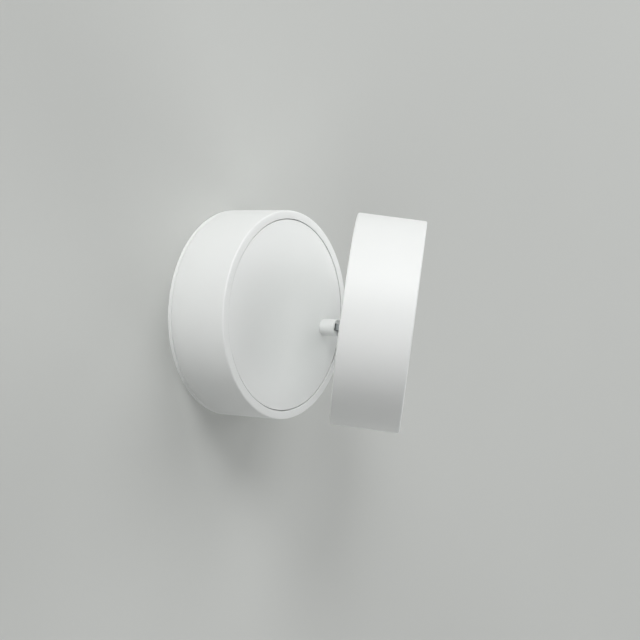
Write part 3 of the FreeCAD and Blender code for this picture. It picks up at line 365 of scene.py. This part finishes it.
def wallPlate():
    edge = disc["radius"]
    top = plate["thickness"]
    bm = turned([(plate["cableHole"], 0), (edge, 0), (edge, top), (plate["spigotRadius"], top),
                 (plate["spigotRadius"], plate["spigotTop"]), (plate["spigotBore"], plate["spigotTop"]),
                 (plate["spigotBore"], top), (plate["cableHole"], top)],
                {1: plate["backRound"], 2: plate["edgeRound"], 4: plate["spigotRound"],
                 5: plate["spigotRound"]})
    half = plate["slotLength"] / 2
    width = plate["slotWidth"] / 2
    almostRound = 0.999  # a full half width would leave edges of no length
    cutters = []
    for side in (-1, 1):
        middle = side * plate["slotSpacing"] / 2
        cutters.append(slab((middle - half, -top - past, -width), (middle + half, past, width),
                            width * almostRound))
    cutters.append(rod(plate["earthHole"], -past, top + past, plate["earthX"], plate["earthZ"]))
    piece = place("wallPlateDisc", bm, "wall_plate", "base", cutters)
    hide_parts("wall_plate")


def radialRod(radius, inner, outer, level, angle, segments=48):
    # a rod or cutter that points out from the disc's axis
    bm = bmesh.new()
    turn = math.radians(angle)
    way = Vector((math.cos(turn), 0, math.sin(turn)))
    middle = way * (inner + outer) / 2 - Vector((0, level, 0))
    spot = Matrix.Translation(middle * mm) @ way.to_track_quat("Z", "Y").to_matrix().to_4x4()
    bmesh.ops.create_cone(bm, cap_ends=True, segments=segments, radius1=radius * mm,
                          radius2=radius * mm, depth=(outer - inner) * mm, matrix=spot)
    return bm


def baseShell():
    back = plate["thickness"] + plate["seam"]
    front = disc["depth"]
    bm = turned([(shellBore, back), (disc["radius"], back), (disc["radius"], front),
                 (disc["rimBore"], front), (disc["rimBore"], insetBack), (disc["ledgeBore"], insetBack),
                 (disc["ledgeBore"], ledgeBack), (shellBore, ledgeBack)],
                {1: disc["backRound"], 2: disc["edgeRound"], 3: disc["seamRound"]})
    cutters = [radialRod(plate["grubHole"], shellBore - past, disc["radius"] + past,
                         plate["grubLevel"], angle) for angle in plate["grubAngles"]]
    piece = place("baseShellDrum", bm, "base_shell", "base", cutters)
    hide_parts("base_shell")


def baseCover():
    bm = turned([(0, insetBack), (disc["insetRadius"], insetBack), (disc["insetRadius"], insetFace),
                 (0, insetFace)], {2: disc["seamRound"]})
    cutters = [rod(stem["bushHole"], insetBack - past, insetFace + past, stem["offset"], segments=96)]
    piece = place("baseCoverDisc", bm, "base_cover", "base", cutters)
    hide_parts("base_cover")


def armStem():
    root = insetFace + stem["gap"]
    end = disc["depth"] + stem["length"]
    floor = end - stem["mouthDepth"]
    socket = floor - stem["socketDepth"]
    bm = turned([(stem["leadBore"], stem["spindleBack"]), (stem["spindle"], stem["spindleBack"]),
                 (stem["spindle"], root), (stem["radius"], root), (stem["radius"], end),
                 (stem["mouthRadius"], end), (stem["mouthRadius"], floor), (stem["socket"], floor),
                 (stem["socket"], socket), (stem["leadBore"], socket)],
                {1: stem["backRound"], 3: stem["backRound"], 4: stem["endRound"],
                 5: stem["mouthRound"]}, segments=128, offset=stem["offset"])
    piece = place("armStemTurned", bm, "arm_stem", "stem")
    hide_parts("arm_stem")


def mouthCollar():
    # a painted collar closes the stem's mouth and leaves a fine gap round the blade
    collar = dict(radius=3.88, recess=0.12, lift=0.05, bladeX=3.5, bladeZ=2.1, edgeRound=0.3)
    end = disc["depth"] + stem["length"]
    back = end - stem["mouthDepth"] + collar["lift"]
    front = end - collar["recess"]
    bm = turned([(0, back), (collar["radius"], back), (collar["radius"], front), (0, front)],
                {2: collar["edgeRound"]}, segments=96, offset=stem["offset"])
    hole = slab((stem["offset"] - collar["bladeX"], -end - past, -collar["bladeZ"]),
                (stem["offset"] + collar["bladeX"], -end + stem["mouthDepth"] + past, collar["bladeZ"]),
                collar["edgeRound"])
    place("mouthCollar", bm, "arm_stem", "stem", [hole])


def headShell():
    front = disc["depth"]
    bm = turned([(0, 0), (disc["radius"], 0), (disc["radius"], front), (disc["rimBore"], front),
                 (disc["rimBore"], insetBack), (disc["ledgeBore"], insetBack),
                 (disc["ledgeBore"], ledgeBack), (shellBore, ledgeBack),
                 (shellBore, disc["backWall"]), (0, disc["backWall"])],
                {1: disc["edgeRound"], 2: disc["edgeRound"], 3: disc["seamRound"]})
    slot = dict(near=34.3, far=46.87, half=2.6, cornerRound=1.2)
    cutters = [slab((slot["near"], -disc["backWall"] - past, -slot["half"]),
                    (slot["far"], past, slot["half"]), slot["cornerRound"])]
    piece = place("headShellDrum", bm, "head_shell", "head", cutters, inHead=True)
    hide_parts("head_shell")


optics = dict(opening=30.0, flare=1.5, glass=33.0, glassThickness=2.0, throat=7.0, mouth=29.7,
              wall=0.8, bowlBack=20.9, bowlFront=33.9, rings=14, openingRound=0.35, glassRound=0.2)


def frontPlate():
    opening = optics["opening"]
    bm = turned([(opening, insetBack), (disc["insetRadius"], insetBack),
                 (disc["insetRadius"], insetFace), (opening + optics["flare"], insetFace)],
                {2: disc["seamRound"], 3: optics["openingRound"]})
    piece = place("frontPlateDisc", bm, "front_plate", "head", inHead=True)
    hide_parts("front_plate")
    back = insetBack - optics["glassThickness"]
    bm = turned([(0, back), (optics["glass"], back), (optics["glass"], insetBack), (0, insetBack)],
                {1: optics["glassRound"], 2: optics["glassRound"]}, segments=128)
    piece = place("frontGlassPane", bm, "front_glass", "head", inHead=True)
    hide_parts("front_glass")


def reflectorBowl():
    # steep at the throat and flatter towards the mouth
    inside = []
    for i in range(optics["rings"] + 1):
        share = i / optics["rings"]
        radius = optics["throat"] + (optics["mouth"] - optics["throat"]) * math.sqrt(share)
        inside.append((radius, optics["bowlBack"] + (optics["bowlFront"] - optics["bowlBack"]) * share))
    outside = [(radius + optics["wall"], level) for radius, level in reversed(inside)]
    bm = turned(inside + outside, segments=96)
    piece = place("reflectorBowl", bm, "reflector", "head", inHead=True)
    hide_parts("reflector")


def cableGrommet():
    grommet = dict(bore=5.0, neck=7.98, lip=10.0, top=3.6, backRound=0.4, lipRound=0.7)
    bm = turned([(grommet["bore"], 0), (grommet["neck"], 0), (grommet["neck"], plate["thickness"]),
                 (grommet["lip"], plate["thickness"]), (grommet["lip"], grommet["top"]),
                 (grommet["bore"], grommet["top"])],
                {0: grommet["backRound"], 3: grommet["backRound"], 4: grommet["lipRound"],
                 5: grommet["lipRound"]}, segments=96)
    piece = place("cableGrommet", bm, "cable_grommet", "base", sharp=60.0)
    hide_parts("cable_grommet")


def grubScrews():
    # cup-point grub screws with a hexagon socket
    grub = dict(radius=1.25, inner=54.6, outer=59.25, point=0.25, socket=0.75, depth=1.5, corner=60.0)
    whole = bmesh.new()
    for angle in plate["grubAngles"]:
        bm = radialRod(grub["radius"], grub["inner"], grub["outer"], plate["grubLevel"], angle)
        ends = [e for e in bm.edges if e.calc_face_angle(0) > math.radians(grub["corner"])]
        bmesh.ops.bevel(bm, geom=ends, offset=grub["point"] * mm, segments=2, profile=0.5,
                        affect="EDGES", material=-1)
        part = bpy.data.meshes.new("grub")
        bm.to_mesh(part)
        bm.free()
        whole.from_mesh(part)
        bpy.data.meshes.remove(part)
    sockets = [radialRod(grub["socket"], grub["outer"] - grub["depth"], grub["outer"] + past,
                         plate["grubLevel"], angle, 6) for angle in plate["grubAngles"]]
    piece = place("grubScrewPair", whole, "shell_grub_screws", "base", sockets)
    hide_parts("shell_grub_screws")


def lightSource():
    # a chip-on-board LED: a white silicone dam round a low crown of phosphor, in a ring holder
    led = dict(face=17.6, radius=5.5, dam=0.9, damHeight=0.8, damRound=0.38, crown=0.62, edge=0.4,
               steps=8)
    inner = led["radius"] - led["dam"]
    crown = [(0, led["face"]), (inner, led["face"]), (inner, led["face"] + led["edge"])]
    for i in range(1, led["steps"] + 1):
        share = i / led["steps"]
        crown.append((inner * (1 - share), led["face"] + led["edge"]
                      + (led["crown"] - led["edge"]) * math.sin(share * math.pi / 2)))
    piece = place("phosphorCrown", turned(crown, segments=96), "led_chip", "head", inHead=True)
    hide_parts("led_chip")
    top = led["face"] + led["damHeight"]
    dam = turned([(inner, led["face"]), (led["radius"], led["face"]), (led["radius"], top),
                  (inner, top)], {2: led["damRound"], 3: led["damRound"]}, segments=96)
    piece = place("siliconeDam", dam, "led_chip", "head", inHead=True)
    piece.data.materials[0] = finishes["silicone_lead"]
    holder = dict(bore=5.8, skirt=12.3, back=16.0, radius=15.0, front=20.2, throat=7.0,
                  frontRound=0.6, throatRound=0.2, screwReach=11.0, screwHead=2.4, recess=1.2,
                  wireReach=2.4, wireHalf=1.0, wireHeight=1.6, wireInner=12.8, wireOuter=16.0,
                  wireRound=0.2)
    bm = turned([(holder["bore"], led["face"]), (holder["skirt"], led["face"]),
                 (holder["skirt"], holder["back"]), (holder["radius"], holder["back"]),
                 (holder["radius"], holder["front"]), (holder["throat"], holder["front"])],
                {4: holder["frontRound"], 5: holder["throatRound"]}, segments=128)
    low = holder["front"] - holder["recess"] - holder["wireHeight"]
    cutters = []
    for side in (-1, 1):
        cutters.append(rod(holder["screwHead"], holder["front"] - holder["recess"],
                           holder["front"] + past, side * holder["screwReach"], segments=48))
        across = side * holder["wireReach"]
        cutters.append(slab((across - holder["wireHalf"], -low - holder["wireHeight"],
                             holder["wireInner"]),
                            (across + holder["wireHalf"], -low, holder["wireOuter"]),
                            holder["wireRound"]))
    piece = place("ledRingHolder", bm, "led_holder", "head", cutters, inHead=True)
    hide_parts("led_holder")


copying = dict(merge=0.002, flat=0.5, corner=50.0)  # mm, then two angles in degrees


def cadCopy(name, node, body, edge):
    # a merged copy of a CAD piece whose sharp edges get a fine round
    bm = bmesh.new()
    bm.from_mesh(frame["nodes"][node].data)
    bmesh.ops.remove_doubles(bm, verts=bm.verts, dist=copying["merge"] * mm)
    bmesh.ops.dissolve_limit(bm, angle_limit=math.radians(copying["flat"]), verts=bm.verts,
                             edges=bm.edges)
    corner = math.radians(copying["corner"])
    corners = [e for e in bm.edges if e.is_manifold and e.calc_face_angle(0) > corner]
    bmesh.ops.bevel(bm, geom=corners, offset=edge * mm, segments=2, profile=0.5,
                    affect="EDGES", material=-1, clamp_overlap=True)
    piece = place(name, bm, node, body)
    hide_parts(node)


wallPlate()
cableGrommet()
baseShell()
grubScrews()
baseCover()
armStem()
mouthCollar()
headShell()
frontPlate()
reflectorBowl()
lightSource()
print("turned pieces done")

# pressed, moulded and milled pieces keep their CAD shape, with the edges softened (mm)
softened = [
    ("hingeTongueBlade", "hinge_tongue", "stem", 0.2),
    ("swivelNutHexagon", "swivel_nut", "stem", 0.2),
    ("hingeBracketPressing", "hinge_bracket", "head", 0.15),
    ("hingePinTurned", "hinge_pin", "head", 0.15),
    ("frontClipSprings", "front_clips", "head", 0.12),
    ("heatSinkBody", "heat_sink", "head", 0.15),
    ("terminalHousing", "terminal_block", "base", 0.25),
    ("driverHousing", "driver_case", "base", 0.3),
    ("driverHousingLid", "driver_lid", "base", 0.3),
]
for row in softened:
    cadCopy(*row)
print("softened pieces:", len(softened))


# the wall and the floor only stage the object
def stagePiece(name, bm, material):
    thing = toObject(name, bm)
    thing.data.materials.append(material)
    return thing


# metres; the hole in the wall stays hidden behind the base
room = dict(wallRadius=2.0, wallHole=0.0599, wallGap=0.0002, floorRadius=14.0, floorLevel=-1.8,
            floorGlow=0.6)


def seenFromFront(material):
    # the wall shows on its room side only, so the object can be looked at from behind
    tree = material.node_tree
    output = next(n for n in tree.nodes if n.type == "OUTPUT_MATERIAL")
    paint = next(n for n in tree.nodes if n.type == "BSDF_PRINCIPLED")
    clear = addNode(tree, "ShaderNodeBsdfTransparent")
    side = addNode(tree, "ShaderNodeNewGeometry")
    mix = addNode(tree, "ShaderNodeMixShader", links={"Fac": side.outputs["Backfacing"]})
    tree.links.new(paint.outputs[0], mix.inputs[1])
    tree.links.new(clear.outputs[0], mix.inputs[2])
    tree.links.new(mix.outputs[0], output.inputs["Surface"])


def backWall():
    bm = bmesh.new()
    spot = Matrix.Translation((0, room["wallGap"], 0)) @ Matrix.Rotation(math.pi / 2, 4, "X")
    for radius in (room["wallHole"], room["wallRadius"]):
        bmesh.ops.create_circle(bm, segments=96, radius=radius, matrix=spot)
    bmesh.ops.bridge_loops(bm, edges=bm.edges[:])
    if bm.faces[:][0].normal.y > 0:
        bmesh.ops.reverse_faces(bm, faces=bm.faces)
    paint = paintedWall()
    seenFromFront(paint)
    stagePiece("wall", bm, paint)


def paleFloor():
    bm = bmesh.new()
    bmesh.ops.create_grid(bm, x_segments=1, y_segments=1, size=room["floorRadius"],
                          matrix=Matrix.Translation((0, 0, room["floorLevel"])))
    screed = paintedWall()
    shader = next(n for n in screed.node_tree.nodes if n.type == "BSDF_PRINCIPLED")
    shader.inputs["Emission Color"].default_value = toLinear("#D9DBD9")
    shader.inputs["Emission Strength"].default_value = room["floorGlow"]
    floor = stagePiece("floor", bm, screed)
    floor.visible_diffuse = False


backWall()
paleFloor()

# degrees and mm, set so that both discs and the stem lie as in the photo; focal length in pixels
view = dict(azimuth=-54.97, elevation=-7.73, roll=7.97, distance=969.5, right=50.643, up=-4.36,
            focalPixels=1650.0, frame=640.0, sensor=36.0, near=50.0, far=30000.0)


def photoCamera():
    a, e, r = (math.radians(view[k]) for k in ("azimuth", "elevation", "roll"))
    back = Vector((math.sin(a) * math.cos(e), -math.cos(a) * math.cos(e), math.sin(e)))
    right = Vector((0, 0, 1)).cross(back).normalized()
    up = back.cross(right)
    across = right * math.cos(r) + up * math.sin(r)
    above = up * math.cos(r) - right * math.sin(r)
    data = bpy.data.cameras.new("photoCamera")
    data.sensor_width = view["sensor"]
    data.lens = view["sensor"] * view["focalPixels"] / view["frame"]
    data.clip_start = view["near"] * mm
    data.clip_end = view["far"] * mm
    camera = bpy.data.objects.new("photoCamera", data)
    camera.matrix_world = Matrix((across, above, back)).transposed().to_4x4()
    camera.location = (across * view["right"] + above * view["up"] + back * view["distance"]) * mm
    bpy.context.scene.collection.objects.link(camera)
    bpy.context.scene.camera = camera


photoCamera()

# soft discs of light (watts, degrees, metres) on the room side and one behind the wall;
# azimuth 0 is straight out from the wall
softboxes = dict(
    windowHigh=dict(power=18.5, azimuth=-50, elevation=35, size=1.0),
    windowAlong=dict(power=15, azimuth=-80, elevation=35, size=1.0),
    windowLevel=dict(power=3.5, azimuth=-50, elevation=5),
    windowLow=dict(power=10, azimuth=-50, elevation=-25),
    roomHigh=dict(power=14, azimuth=10, elevation=35),
    roomLevel=dict(power=4.5, azimuth=10, elevation=5),
    roomLow=dict(power=3, azimuth=10, elevation=-25),
    farHigh=dict(power=16, azimuth=70, elevation=35),
    farLow=dict(power=15, azimuth=70, elevation=-25),
    behindWall=dict(power=34, azimuth=215, elevation=20),
)
boxDistance = 2.4
boxAim = Vector((0, -0.05, 0))


def softLight(name, power, azimuth, elevation, size=1.4):
    a, e = math.radians(azimuth), math.radians(elevation)
    way = Vector((math.sin(a) * math.cos(e), -math.cos(a) * math.cos(e), math.sin(e)))
    data = bpy.data.lights.new(name, "AREA")
    data.shape = "DISK"
    data.size = size
    data.energy = power
    lamp = bpy.data.objects.new(name, data)
    lamp.location = boxAim + way * boxDistance
    lamp.rotation_euler = (-way).to_track_quat("-Z", "Y").to_euler()
    bpy.context.scene.collection.objects.link(lamp)


for name, facts in softboxes.items():
    softLight(name, **facts)


def studioWorld():
    # a pale backdrop for the camera, and almost no light of its own
    world = bpy.data.worlds.new("studio")
    world.use_nodes = True
    tree = world.node_tree
    tree.nodes.clear()
    faint = addNode(tree, "ShaderNodeBackground", {"Color": toLinear("#F2F4F5"), "Strength": 0.04})
    pale = addNode(tree, "ShaderNodeBackground", {"Color": toLinear("#C6C9C8"), "Strength": 1.0})
    path = addNode(tree, "ShaderNodeLightPath")
    mix = addNode(tree, "ShaderNodeMixShader", links={"Fac": path.outputs["Is Camera Ray"]})
    tree.links.new(faint.outputs[0], mix.inputs[1])
    tree.links.new(pale.outputs[0], mix.inputs[2])
    addNode(tree, "ShaderNodeOutputWorld", links={"Surface": mix.outputs[0]})
    bpy.context.scene.world = world


studioWorld()
bpy.context.scene.view_settings.view_transform = "Standard"
print("stage, camera and lights done")
